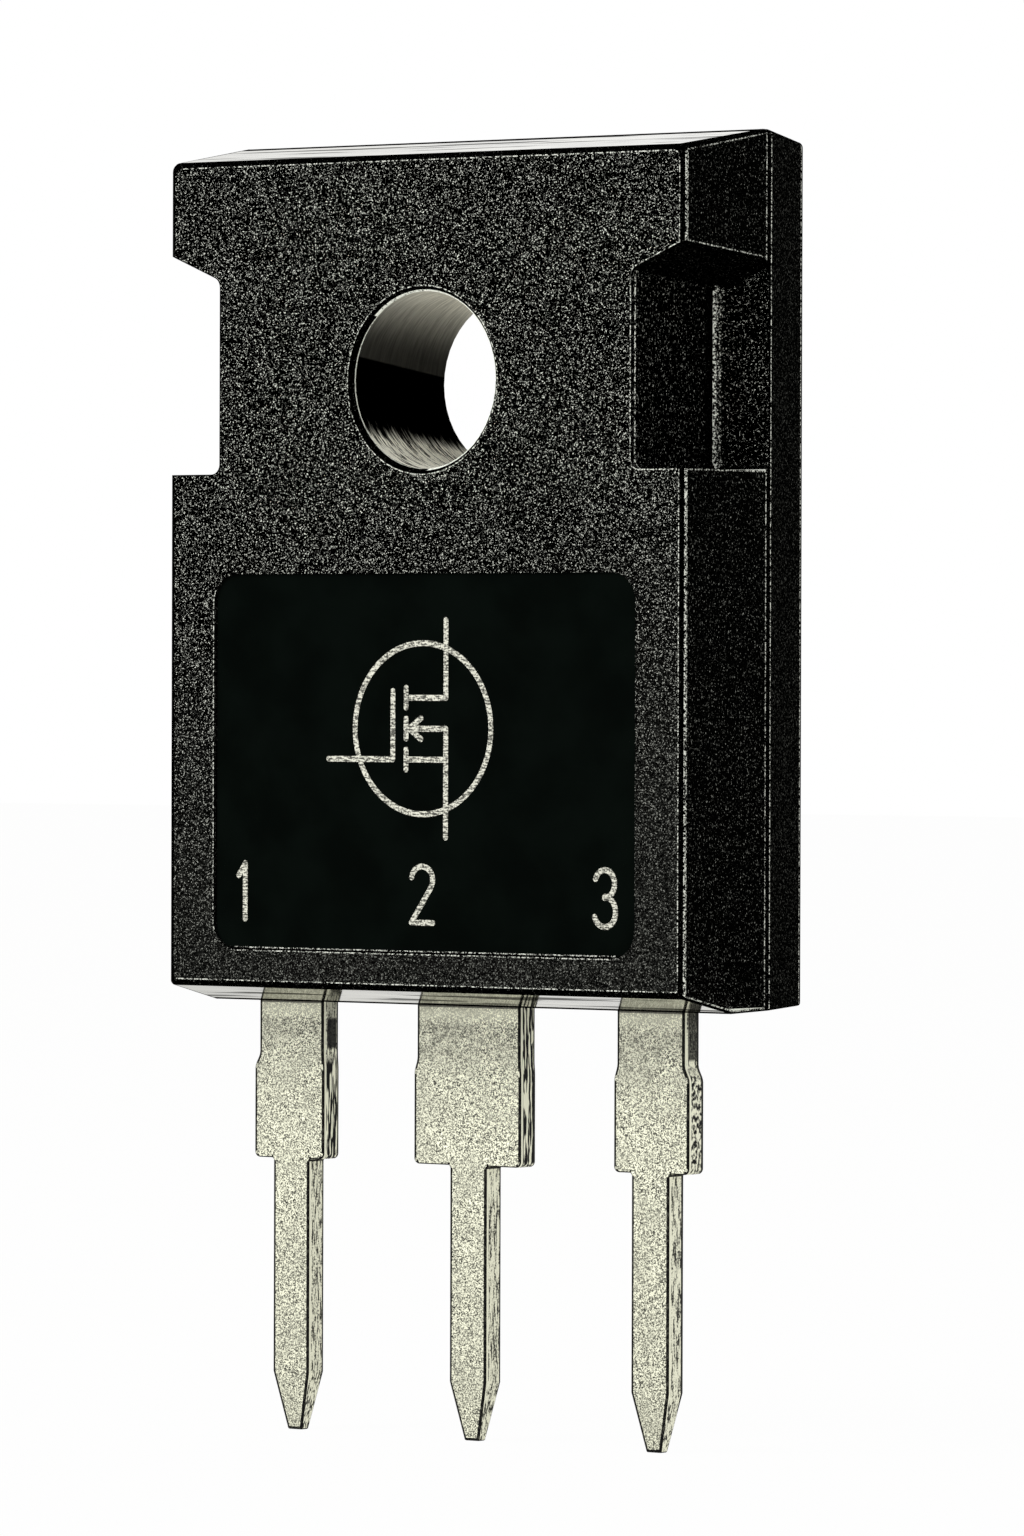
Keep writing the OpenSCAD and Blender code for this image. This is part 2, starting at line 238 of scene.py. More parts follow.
def erodedPlastic(name, s):
    # moulding compound that copies a spark-eroded mould: countless bright specks on near black
    material, shader, w, place = newMaterial(name)
    grain = fineGrain(w, place, s["grain"], s.get("stretch"))
    speck = grain.step(*s["edge"]) ** s["power"]
    colour = speck.tones(s["dark"], s["light"], plasticTint)
    if "soft" in s:
        # lower down and to the right the specks melt together into a flatter grey
        soft = grain.step(*s["softEdge"]).tones(*s["soft"], plasticTint)
        cloud = noise(w, place, s["cloud"], 2.0)
        down, across = axis(w, place, 1) * -1.0, axis(w, place, 0) * s["slant"]
        share = (down + across + cloud * s["cloudShare"]).step(*s["softFrom"])
        colour = (share * s["softShare"]).mix(colour, soft)
    plug(w, shader, "Base Color", colour)
    plug(w, shader, "Roughness", 0.6)
    plug(w, shader, "Specular IOR Level", 0.0)
    plug(w, shader, "Normal", bump(w, grain, 0.4, 0.02))
    return material


end = {
    "streak": 0.34, "edge": (0.545, 0.595), "share": 0.8, "stretch": (18.0, 1.0, 1.0),  # the matt streaks
    "cloud": 0.9, "cloudEdge": (0.4, 0.65), "cloudStretch": (4.0, 1.0, 1.0),
    "light": grey(30, (1, 1, 0.9)), "dark": grey(16, (1, 1, 0.8)), "matt": grey(22, (1, 0.98, 0.8)),
    "gloss": {"Specular IOR Level": 0.25, "Coat IOR": 1.32, "Coat Weight": 1.0, "Coat Roughness": 0.06,
              "Coat Tint": (1, 0.99, 0.9, 1)},
}


def drawnPlastic(name, s):
    # the drafted ends, drawn smooth when the part leaves its mould: matt streaks across a glossy black face
    material, shader, w, place = newMaterial(name)
    streak = noise(w, place, s["streak"], 2.0, 0.6, s["stretch"])
    cloud = noise(w, place, s["cloud"], 2.0, 0.6, s["cloudStretch"]).step(*s["cloudEdge"])
    plug(w, shader, "Base Color", cloud.mix(s["light"], s["dark"]))
    plug(w, shader, "Roughness", 0.1 + cloud * 0.15)
    plug(w, shader, "Normal", bump(w, streak, 0.6, 0.02))
    for socket, value in s["gloss"].items():
        plug(w, shader, socket, value)
    matt = w.add("ShaderNodeBsdfPrincipled", inputs={"Base Color": (*s["matt"], 1), "Roughness": 0.7,
                                                     "Specular IOR Level": 0.0})
    share = streak.step(*s["edge"]) * s["share"]
    both = w.add("ShaderNodeMixShader", inputs={0: share, 1: Wire(w.tree, shader.outputs[0]), 2: matt})
    w.tree.links.new(both.socket, w.tree.nodes["Material Output"].inputs["Surface"])
    return material


panel = {"haze": 1.6, "hazeEdge": (0.3, 0.7), "levels": (7, 11), "tint": (0.8, 1.25, 1), "roughness": 0.42}


def polishedPlastic(name, s):
    # the marking panel, from a polished part of the mould
    material, shader, w, place = newMaterial(name)
    haze = noise(w, place, s["haze"], 3.0)
    plug(w, shader, "Base Color", haze.step(*s["hazeEdge"]).tones(*s["levels"], s["tint"]))
    plug(w, shader, "Roughness", s["roughness"] + haze * 0.1)
    plug(w, shader, "Specular IOR Level", 0.0)
    return material


bore = {
    "brush": 0.06, "stretch": (14.0, 14.0, 1.0), "paintedReflection": grey(255, (1, 0.98, 0.85)),
    "upperLean": 0.12,  # how far the upper painted reflection's edge shifts along Y for each millimetre of depth
    "upperHeight": 1.85, "upperPower": 3.2, "upperGain": 1.25, "upperBase": 0.03, "upperBrush": (0.3, 0.7),
    "lowerLean": 0.1, "lowerFrom": 1.55, "lowerHeight": 0.7, "lowerBase": 0.45, "lowerBrush": (0.42, 0.55),
    "ragged": 1.1, "fade": 0.55,  # how far brush marks reach past the lower painted reflection's edge, and its width
    "upperTone": (0.75, 0.5), "lowerTone": (0.02, 1.9),  # the painted reflection between the brush marks, and what they add
}


def borePlastic(name, s):
    # the screw hole's wall: black, with a painted reflection above and below, streaked by the core pin's
    # brush marks
    material, shader, w, place = newMaterial(name)
    brush = noise(w, place, s["brush"], 3.0, 0.7, s["stretch"])
    y, z = axis(w, place, 1), axis(w, place, 2)
    # the upper and lower painted reflections, which lighten the base colour
    above = y - z * s["upperLean"]
    growth = above.step(0.0, s["upperHeight"], "LINEAR") ** s["upperPower"]
    upper = above.step(0.0, 0.05) * (s["upperBase"] + s["upperGain"] * growth)
    below = y * -1.0 + z * s["lowerLean"] - s["lowerFrom"]
    lower = (below + brush * s["ragged"] - s["fade"]).step(0.0, s["fade"])
    lower = lower * (s["lowerBase"] + below.step(0.0, s["lowerHeight"], "LINEAR"))
    (upperPlain, upperMarks), (lowerPlain, lowerMarks) = s["upperTone"], s["lowerTone"]
    paintedReflection = upper * (upperPlain + brush.step(*s["upperBrush"]) * upperMarks)
    paintedReflection = paintedReflection + lower * (lowerPlain + brush.step(*s["lowerBrush"]) * lowerMarks)
    plug(w, shader, "Base Color", paintedReflection.mix(grey(0), s["paintedReflection"]))
    plug(w, shader, "Roughness", 0.5)
    plug(w, shader, "Specular IOR Level", 0.0)
    plug(w, shader, "Normal", bump(w, brush, 0.2, 0.008))
    return material


# one material for each look above, so several of them paint light and shade as told there
plasticMaterials = {key: erodedPlastic("moulded_" + key, s) for key, s in plastic.items()}
plasticMaterials["end"] = drawnPlastic("moulded_end", end)
plasticMaterials["panel"] = polishedPlastic("marking_panel_black", panel)
plasticMaterials["bore"] = borePlastic("bore_black", bore)


# Tin plating. Pairs that aren't noise values are places along Y, or across the strip along Z, between which
# something sets in.
tinFaceLook = {
    "tint": (1, 1.0, 0.79), "grain": 0.038, "edge": (0.4, 0.58), "power": 1.3, "light": 255, "dark": 0,
    "patch": 0.7, "patchEdge": (0.35, 0.7), "patchShare": 0.35, "patchLevel": 170,
    # painted shade towards the case, in blotches and evenly
    "shadeBlotch": 0.24, "shadeBlotchEdge": (0.52, 0.62), "shadeBlotchShare": 0.5, "nearCaseShadeLevel": 70,
    "blotchedShadeSpan": (-17.0, -15.8), "nearCaseShadeSpan": (-18.2, -15.6), "nearCaseShadeShare": 0.26,
    "nearCaseShadePlain": 0.4, "nearCaseShadeGrain": 0.8,  # how strong the painted shade is between the specks, and what they add
    "clear": (-15.6, -15.4),  # above this the case throws light back and no painted shade shows
    # a painted reflection of the case's end on the lead just below it
    "caseReflection": (-15.6, -15.2), "caseReflectionShare": 0.5,
    "contactShadow": (-15.1, -15.08), "contactShadowShare": 0.8, "contactShadowLevel": 12,  # the painted shadow line along the case
    "inside": (-15.0, -14.9),  # the tab above this is in the case and stays bright
}


def tinFace(name, s):
    # matte tin plating: dense fine dark worms on a pale warm grey, with painted shade towards the case,
    # partly in blotches, a painted reflection of the case just below it and a painted shadow line along it
    material, shader, w, place = newMaterial(name)
    grain = fineGrain(w, place, s["grain"])
    patch = noise(w, place, s["patch"], 3.0, 0.6).step(*s["patchEdge"]) * s["patchShare"]
    shadeBlotch = noise(w, place, s["shadeBlotch"], 4.0, 0.7).step(*s["shadeBlotchEdge"])
    y = axis(w, place, 1)
    unlit, outside = 1 - y.step(*s["clear"]), 1 - y.step(*s["inside"])
    # painted shade that grows towards the case, in blotches and evenly
    nearCaseShade = y.step(*s["blotchedShadeSpan"]) * unlit * shadeBlotch * s["shadeBlotchShare"]
    nearCaseShade = nearCaseShade + y.step(*s["nearCaseShadeSpan"], "LINEAR") * unlit * s["nearCaseShadeShare"]
    # a painted reflection of the case's end just below it
    caseReflection = outside * y.step(*s["caseReflection"]) * s["caseReflectionShare"]
    worm = w.maths("MAXIMUM", grain.step(*s["edge"]) ** s["power"], caseReflection)
    colour = patch.mix(worm.tones(s["dark"], s["light"], s["tint"]), grey(s["patchLevel"], s["tint"]))
    nearCaseShade = nearCaseShade * (s["nearCaseShadePlain"] + grain * s["nearCaseShadeGrain"])
    colour = nearCaseShade.mix(colour, grey(s["nearCaseShadeLevel"], s["tint"]))
    # a painted shadow line along the case
    contactShadow = outside * y.step(*s["contactShadow"]) * s["contactShadowShare"]
    colour = contactShadow.mix(colour, grey(s["contactShadowLevel"], s["tint"]))
    plug(w, shader, "Base Color", colour)
    plug(w, shader, "Roughness", 0.5)
    plug(w, shader, "Metallic", 0.6)
    plug(w, shader, "Normal", bump(w, grain, 0.3, 0.01))
    return material


tinCutLook = {
    "tint": (1, 1.0, 0.8), "light": 252, "dark": 50, "black": 2,
    "streak": 0.065, "streakStretch": (1.0, 12.0, 1.0), "streakEdge": (0.45, 0.49),
    "patch": 0.052, "patchStretch": (1.0, 9.0, 1.0), "grain": 0.055, "patchEdge": (0.47, 0.57),
    "patchPart": 0.65, "grainPart": 0.35,  # how the patches and the grain share the pins
    "speck": 0.085, "speckStretch": (1.0, 1.4, 1.0), "speckEdge": (0.43, 0.58),
    "outerLead": (3.0, 3.1),  # distance from the middle at which the outer leads begin
    "wide": (-19.0, -18.9), "neck": (-16.6, -16.3),  # the wide part ends at these two places
    # black painted shade next to the case on both outer leads
    "sideShade": (-16.25, -16.15), "sideShadeEnd": (-15.5, -15.4), "sideShadeAcross": (2.55, 2.6, 2.93, 2.97),
    "sideShadeLevel": 4, "sideShadePlain": 0.92, "sideShadeGrain": 0.1,
    "sideShadeEndShare": 0.6,  # how much of the left lead's painted shade goes at its end
    "sideShadeGap": (0.4, 0.6), "sideShadeGapShare": 0.25,  # the paler patches in the right lead's painted shade
    # a painted highlight line beside the front face and a painted dark line at the back
    "frontHighlight": (2.99, 3.01), "backShadeLine": (2.56, 2.58), "backShadeLevel": 25, "rightBackShadeLine": 0.03,
}


def tinCut(name, s):
    # sheared side of the strip: white and black streaks along the wide part, or specks on the right lead,
    # patchy on the pins, with black painted shade next to the case on both outer leads, a painted highlight
    # line beside the front face and a painted dark line at the back
    material, shader, w, place = newMaterial(name)
    streak = noise(w, place, s["streak"], 2.0, 0.5, s["streakStretch"])
    patch = noise(w, place, s["patch"], 2.0, 0.6, s["patchStretch"])
    grain = noise(w, place, s["grain"], 2.0, 0.6)
    speck = noise(w, place, s["speck"], 3.0, 0.6, s["speckStretch"])
    x, y, z = (axis(w, place, i) for i in range(3))
    outer = abs(x).step(*s["outerLead"])  # both outer leads
    right = x.step(*s["outerLead"])  # the right one alone
    light = grey(s["light"], s["tint"])
    streakTone = streak.step(*s["streakEdge"]).mix(light, grey(s["black"]))
    speckTone = speck.step(*s["speckEdge"]).mix(light, grey(s["black"]))
    pinNoise = patch * s["patchPart"] + grain * s["grainPart"]
    pinTone = pinNoise.step(*s["patchEdge"]).tones(s["light"], s["dark"], s["tint"])
    wide = y.step(*s["wide"]) * (1 - y.step(*s["neck"]) * outer)
    colour = wide.mix(pinTone, right.mix(streakTone, speckTone))
    # black painted shade next to the case on both outer leads
    backFrom, backTo, frontFrom, frontTo = s["sideShadeAcross"]
    sideShade = outer * y.step(*s["sideShade"]) * (1 - y.step(*s["sideShadeEnd"]) * (1 - right) * s["sideShadeEndShare"])
    sideShade = sideShade * z.step(backFrom, backTo) * (1 - z.step(frontFrom, frontTo))
    sideShade = sideShade * (1 - right * patch.step(*s["sideShadeGap"]) * s["sideShadeGapShare"])
    sideShade = sideShade * (s["sideShadePlain"] + grain * s["sideShadeGrain"])
    colour = sideShade.mix(colour, grey(s["sideShadeLevel"]))
    # a painted highlight line beside the front face and a painted dark line at the back
    colour = z.step(*s["frontHighlight"]).mix(colour, light)
    notBack = (z - right * s["rightBackShadeLine"]).step(*s["backShadeLine"])
    colour = (1 - notBack).mix(colour, grey(s["backShadeLevel"], s["tint"]))
    plug(w, shader, "Base Color", colour)
    plug(w, shader, "Roughness", 0.5)
    plug(w, shader, "Metallic", 0.4)
    plug(w, shader, "Specular IOR Level", 0.1)
    plug(w, shader, "Normal", bump(w, streak, 0.4, 0.02))
    return material


# the rim of the leads' faces, painted dark as shade
tinEdgeLook = {"grain": 0.1, "edge": (0.5, 0.7), "levels": (2, 70), "tint": (1, 1, 0.8)}


def tinEdge(name, s):
    # the turned-over rim of each stamped face, painted dark as the shade along the edge
    material, shader, w, place = newMaterial(name)
    grain = noise(w, place, s["grain"], 2.0, 0.6)
    plug(w, shader, "Base Color", grain.step(*s["edge"]).tones(*s["levels"], s["tint"]))
    plug(w, shader, "Roughness", 0.7)
    plug(w, shader, "Specular IOR Level", 0.1)
    return material


tinMaterials = [tinFace("tin_face", tinFaceLook), tinCut("tin_cut_side", tinCutLook),
                tinEdge("tin_edge", tinEdgeLook)]
print("materials mixed")


# The pieces that stand for CAD nodes.
smoothAngle = 30  # degrees up to which two faces are shaded as one


def cleanCopy(node, name):
    # the node's mesh with its loose triangles joined and its flat faces made whole
    shape = bmesh.new()
    shape.from_mesh(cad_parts[node].data)
    bmesh.ops.remove_doubles(shape, verts=shape.verts, dist=1e-7)
    bmesh.ops.dissolve_limit(shape, angle_limit=math.radians(0.3), verts=shape.verts, edges=shape.edges)
    mesh = bpy.data.meshes.new(name)
    shape.to_mesh(mesh)
    shape.free()
    if "custom_normal" in mesh.attributes:
        mesh.attributes.remove(mesh.attributes["custom_normal"])
    mesh.materials.clear()
    piece = bpy.data.objects.new(name, mesh)
    scene.collection.objects.link(piece)
    return piece


def faceFacts(mesh):
    # centres in mm and normals of all faces as arrays
    centre = np.zeros(len(mesh.polygons) * 3)
    normal = np.zeros(len(mesh.polygons) * 3)
    mesh.polygons.foreach_get("center", centre)
    mesh.polygons.foreach_get("normal", normal)
    return centre.reshape(-1, 3) / mm, normal.reshape(-1, 3)


def outlineFaces(shape, tag, old, new, width):
    # a narrow strip just inside the outline of all faces tagged old gets the tag new
    faces = [f for f in shape.faces if f[tag] == old]
    strip = bmesh.ops.inset_region(shape, faces=faces, thickness=width * mm, use_even_offset=True)
    for face in strip["faces"]:
        face[tag] = new


def stripFaces(shape, tag, old, new, along, low, high):
    # faces tagged old are cut across at two places of one axis, and the part between them gets the tag new
    direction = Vector([float(i == along) for i in range(3)])
    for at in (low, high):
        faces = [f for f in shape.faces if f[tag] == old]
        geometry = {*faces, *(e for f in faces for e in f.edges), *(v for f in faces for v in f.verts)}
        bmesh.ops.bisect_plane(shape, geom=list(geometry), dist=1e-7, plane_co=direction * at * mm,
                               plane_no=direction)
    for face in shape.faces:
        if face[tag] == old and low < face.calc_center_bounds()[along] / mm < high:
            face[tag] = new


def finishPiece(piece, materials):
    # the looks of its parts, and smooth shading everywhere but across its edges
    mesh = piece.data
    for m in materials:
        mesh.materials.append(m)
    mesh.polygons.foreach_set("use_smooth", np.ones(len(mesh.polygons), bool))
    mesh.set_sharp_from_angle(angle=math.radians(smoothAngle))
    mesh.update()


def tagged(piece, names, slotOf):
    # the mesh as a bmesh whose faces carry slotOf as a tag, and the number of each name
    shape = bmesh.new()
    shape.from_mesh(piece.data)
    tag = shape.faces.layers.int.new("part")
    for face, number in zip(shape.faces, slotOf):
        face[tag] = int(number)
    return shape, tag, {name: i for i, name in enumerate(names)}


def untagged(piece, shape, tag):
    # the tags become material numbers, and the bmesh goes back into the piece
    for face in shape.faces:
        face.material_index = face[tag]
    shape.faces.layers.int.remove(tag)
    shape.to_mesh(piece.data)
    shape.free()


case = {
    # the edge highlight, faint, frame, glint and band parts carry painted highlights, and rim, step, ring and
    # black carry painted dark lines of shade
    "parts": ("inside", "side", "face", "rim", "end", "bore", "panel", "back", "pit", "ledge", "band",
              "bead", "faint", "glint", "foot", "frame", "step", "ring", "black", "tail"),
    # parts that share the look of another one
    "looks": {"inside": "back", "foot": "pit", "frame": "faint", "step": "rim", "ring": "rim",
              "black": "rim", "tail": "end"},
    "ridge": 1.85, "rounding": 0.13, "panelDepth": 0.08,
    "near": 0.1, "close": 0.05, "flush": 0.02,  # distances within which a face counts as at a place
    "flank": 7.6, "widest": 7.9,  # distances from the middle
    "notch": {"floor": 6.25, "mouth": 7.86, "low": -2.3, "foot": -2.08, "top": 2.0, "high": 3.4,
              "bevel": 0.15},
    "ends": {"top": 5.4, "topBack": 5.7, "bottom": -14.4, "bottomBack": -14.9},
    "boreRadius": 2.35, "boreFoot": 1.3,
    "ringRadius": 2.3, "ringHidden": 1.6,  # the ring's painted highlight shows on its left side only above this
    "panelBox": ((-6.3, 6.5), (-13.68, -4.5)),  # what lies inside it isn't the panel's left or lower edge
    "leftEdge": {"body": -7.6, "notched": -6.1, "change": -4.0},
    # outline strips, each a painted highlight or painted dark line: part, new part, width
    "outlines": [("face", "faint", 0.028), ("side", "faint", 0.035), ("panel", "step", 0.045),
                 ("panel", "frame", 0.03), ("end", "black", 0.045), ("tail", "black", 0.03)],
    # strips across an axis, each a painted highlight or painted dark line: part, new part, axis, from, to
    "strips": [("back", "bead", 2, 1.725, 1.78), ("back", "faint", 2, 0.06, 0.1),
               ("pit", "bead", 2, 4.84, 4.89), ("pit", "black", 2, 1.9, 2.27),
               ("band", "bead", 2, 1.93, 2.0), ("bore", "glint", 2, 4.86, 4.9),
               ("ring", "glint", 2, 4.9, 4.94), ("foot", "glint", 1, -2.2, -2.165),
               ("side", "glint", 1, -15.2, -14.92), ("end", "black", 2, 1.8, 2.32),
               ("tail", "black", 2, 3.05, 3.3)],
}


def findParts(centres, normals, s):
    # Which faces of the case belong to each part, from where they lie and where they face. A later part wins.
    # nx, ny and nz are how much of a face's direction lies along each axis, from 0 to 1.
    front, ridge, notch, ends = cadHigh.z / mm, s["ridge"], s["notch"], s["ends"]
    near, close, flush = s["near"], s["close"], s["flush"]
    radius = np.hypot(centres[:, 0], centres[:, 1])
    x, y, z = np.abs(centres[:, 0]), centres[:, 1], centres[:, 2]
    nx, ny, nz = np.abs(normals[:, 0]), np.abs(normals[:, 1]), normals[:, 2]
    level, leaning, upright = nz > 0.99, (nz > 0.3) & (nz < 0.95), np.abs(nz) < 0.3
    rounded, lengthwise = z > front - s["rounding"], ny > 0.3
    flank = (nx > 0.9) & (x > s["flank"])
    ridgeLine = (x > s["widest"]) & (nx > 0.99) & (abs(z - ridge) < close)
    cut = (x > notch["floor"]) & (x < notch["mouth"]) & (z > ridge - flush)
    cut = cut & (y > notch["low"]) & (y < notch["high"])
    bevel = cut & leaning & (z < ridge + notch["bevel"])
    lowEnds = (ny > 0.9) & ((y > ends["topBack"]) | (y < ends["bottomBack"])) & (z < ridge - near)
    corner = lengthwise & (ny < 0.985) & (x > s["flank"] - near) & upright & (z > ridge)
    ringSeen = (y > s["ringHidden"]) | (centres[:, 0] > 0)
    endWall = lengthwise & upright & (z > ridge - near)
    return {
        "side": flank & (z > ridge + near),
        "back": flank & (z < ridge - close) | lowEnds,
        "rim": ridgeLine | (nz > 0.12) & (nz < 0.99) & rounded,
        "pit": cut,
        "foot": bevel & (y < notch["foot"]),
        "band": bevel & (nx > 0.3),
        "ledge": cut & level & (z < ridge + notch["bevel"]),
        "bead": flank & (nz > 0.2) & rounded,
        "ring": (radius < s["ringRadius"]) & leaning & rounded & ringSeen,
        "face": level & (z > front - flush),
        "end": endWall & (y > ends["top"]),
        "tail": endWall & (y < ends["bottom"]) | (y < ends["bottomBack"]) & (ny > 0.9),
        "black": cut & (y > notch["top"]) & (ny > 0.5) | corner,
        "panel": level & (abs(z - front + s["panelDepth"]) < flush),
        "bore": (radius < s["boreRadius"]) & (np.abs(nz) < 0.2) & (z > s["boreFoot"]),
    }


def quietEdges(shape, tag, number, s):
    # takes back the painted highlight outlines where the real part shows none
    front, left = cadHigh.z / mm, s["leftEdge"]
    floorEdge = front - s["near"]
    (panelLeft, panelRight), (panelLow, panelHigh) = s["panelBox"]
    for face in shape.faces:
        middle = face.calc_center_bounds() / mm
        # the panel's right and upper edges catch no light
        inside = panelLeft < middle.x < panelRight and panelLow < middle.y < panelHigh
        if inside and middle.z > floorEdge:
            if face[tag] in (number["faint"], number["frame"], number["step"]):
                face[tag] = number["face"] if middle.z > front - s["panelDepth"] / 2 else number["panel"]
        # the face's left edge is seen against the white and stays dark, a painted dark line instead of a
        # painted highlight
        if face[tag] == number["faint"]:
            if middle.x < (left["body"] if middle.y < left["change"] else left["notched"]):
                face[tag] = number["rim"]


def makeCase(s):
    # the moulding: its faces are sorted into parts, then the narrow strips of painted highlight and shade are
    # cut into them
    piece = cleanCopy("moulded_body", "moulded_case")
    centres, normals = faceFacts(piece.data)
    slot = np.zeros(len(centres))
    for name, found in findParts(centres, normals, s).items():
        slot[found] = s["parts"].index(name)
    shape, tag, number = tagged(piece, s["parts"], slot)
    for old, new, width in s["outlines"]:
        outlineFaces(shape, tag, number[old], number[new], width)
    quietEdges(shape, tag, number, s)
    for old, new, *place in s["strips"]:
        stripFaces(shape, tag, number[old], number[new], *place)
    untagged(piece, shape, tag)
    finishPiece(piece, [plasticMaterials[s["looks"].get(name, name)] for name in s["parts"]])
    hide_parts("moulded_body")
    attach(piece, "root")


lead = {
    "parts": ("face", "cut", "edge"),
    "flat": 0.6,  # how much of a face's direction points along Z on the strip's two flat sides
    # width of the painted dark rim round each flat side
    "outline": 0.07,
    "tipsAbove": -25.3,
    "bevel": {"width": 0.03, "segments": 2, "angle": 30},  # angle in degrees
}


def makeLead(node, name, s):
    # a piece of the strip: flat sides, sheared sides and a rim painted dark as shade, with every edge
    # softened
    piece = cleanCopy(node, name)
    normals = faceFacts(piece.data)[1]
    flat = np.abs(normals[:, 2]) > s["flat"]
    shape, tag, number = tagged(piece, s["parts"], np.where(flat, 0, 1))
    outlineFaces(shape, tag, number["face"], number["edge"], s["outline"])
    for face in shape.faces:  # below the shoulders only the narrow bevel gets the painted dark rim
        across = [max(v.co[i] for v in face.verts) - min(v.co[i] for v in face.verts) for i in (0, 1)]
        crosswise = across[0] > across[1] and face.calc_center_bounds().y > s["tipsAbove"] * mm
        if face[tag] == number["edge"] and crosswise:
            face[tag] = number["face"]
    untagged(piece, shape, tag)
    finishPiece(piece, tinMaterials)
    # the bevel's faces take the painted dark rim too
    m = piece.modifiers.new("edges", "BEVEL")
    m.width, m.segments, m.limit_method = s["bevel"]["width"] * mm, s["bevel"]["segments"], "ANGLE"
    m.angle_limit, m.material = math.radians(s["bevel"]["angle"]), number["edge"]
    m.use_clamp_overlap = True
    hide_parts(node)
    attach(piece, "root")


makeCase(case)
makeLead("gate_lead", "gate_terminal", lead)
makeLead("source_lead", "source_terminal", lead)
makeLead("drain_leadframe", "drain_terminal_and_tab", lead)
print("case and leads made")


# The marking: the symbol of such a transistor and the numbers of its pins.
marking = {
    "stroke": 0.14, "thick": 0.006, "lift": 0.002,
    "rise": 0.0005,  # each stroke is this much thicker than the one before, so that no crossing flickers
    "capPoints": 9,
    "grain": 0.05, "hatch": 0.04, "hatchStretch": (4.0, 1.0, 1.0), "edge": (0.42, 0.58),
    "levels": (85, 235), "tint": (1, 1, 0.86),
    # all but the centre is measured from it
    "symbol": {"centre": (0.0, -8.35), "radius": 2.05, "channel": -0.5, "gate": -0.9, "gateTop": 0.9,
               "gateReach": 0.8, "leg": 0.74, "legs": 0.7, "legReach": 0.55, "arcPoints": 48,
               "channelBars": ((0.98, 0.5), (0.24, -0.24), (-0.5, -0.98)), "arrow": (0.1, 0.45, 0.25)},
    "digits": {"height": 1.35, "foot": -13.0, "half": 0.32, "places": (-5.42, 0.0, 5.44)},
}


def ribbon(paths, z, s):
    # Each path is a line of points. The ribbon's two edges lie half a stroke to the left and right of it,
    # and its ends are half circles, all as one closed flat outline that is then given its thickness.
    verts, faces = [], []
    for i, path in enumerate(paths):
        p = np.array(path, float)
        d = np.gradient(p, axis=0)
        d /= np.linalg.norm(d, axis=1)[:, None]
        side = np.stack([-d[:, 1], d[:, 0]], axis=1) * s["stroke"] / 2
        a = np.linspace(0, np.pi, s["capPoints"])[1:-1, None]
        capEnd = p[-1] + side[-1] * np.cos(a) + d[-1] * np.sin(a) * s["stroke"] / 2
        capStart = p[0] - side[0] * np.cos(a) - d[0] * np.sin(a) * s["stroke"] / 2
        outline = np.concatenate([p + side, capEnd, (p - side)[::-1], capStart])
        count, base = len(outline), len(verts)
        for level in (z, z + s["thick"] + i * s["rise"]):
            verts.extend(np.column_stack([outline, np.full(count, level)]).tolist())
        k = np.arange(count)
        faces.append((base + k).tolist())
        faces.append((base + count + k[::-1]).tolist())
        after = (k + 1) % count
        walls = [base + after, base + k, base + count + k, base + count + after]
        faces.extend(np.column_stack(walls).tolist())
    return verts, faces


def arcPoints(x, y, rx, ry, start, end, count):
    # points at equal angles, in degrees, along an ellipse round x, y
    a = np.radians(np.linspace(start, end, count))
    return np.column_stack([x + rx * np.cos(a), y + ry * np.sin(a)])


def line(start, end):
    # a straight path from one point to the other
    return np.array([start, end], float)


def symbolPaths(s):
    # a circle of two arcs, the three bars of the channel, the gate beside it, the legs and the arrow
    cx, cy = s["centre"]
    r, leg = s["radius"], s["leg"]
    channel, gate, legs = (cx + s[k] for k in ("channel", "gate", "legs"))
    arrowTip, arrowBack, arrowHalf = s["arrow"]
    bars = [line((channel, cy + top), (channel, cy + low)) for top, low in s["channelBars"]]
    return [
        arcPoints(cx, cy, r, r, 90, 270, s["arcPoints"]), arcPoints(cx, cy, r, r, 270, 450, s["arcPoints"]),
        *bars,
        line((gate, cy + s["gateTop"]), (gate, cy - leg)),
        line((gate, cy - leg), (cx - r - s["gateReach"], cy - leg)),
        line((channel, cy + leg), (legs, cy + leg)),
        line((legs, cy + leg), (legs, cy + r + s["legReach"])),
        line((channel, cy - leg), (legs, cy - leg)),
        line((legs, cy), (legs, cy - r - s["legReach"])),
        line((channel, cy), (legs, cy)),
        line((channel + arrowBack, cy + arrowHalf), (channel + arrowTip, cy)),
        line((channel + arrowBack, cy - arrowHalf), (channel + arrowTip, cy)),
    ]


def digitPaths(s):
    # each digit of straight strokes and of arcs of ellipses, as shares of its height and of half its width
    h, y, w = s["height"], s["foot"], s["half"]
    one, two, three = s["places"]
    top, low = h * 0.245, h * 0.265  # half heights of the two bowls of the 3
    neck = line((two + w * 0.8, y + h - w * 1.62), (two - w, y))
    return [
        line((one - 0.2, y + h * 0.78), (one, y + h)), line((one, y + h), (one, y)),
        np.concatenate([arcPoints(two, y + h - w, w, w, 170, -35, 20), neck]),
        line((two - w, y), (two + w, y)),
        arcPoints(three, y + h - top, w * 0.9, top, 160, -90, 20),
        arcPoints(three, y + low, w, low, 90, -160, 22),
    ]


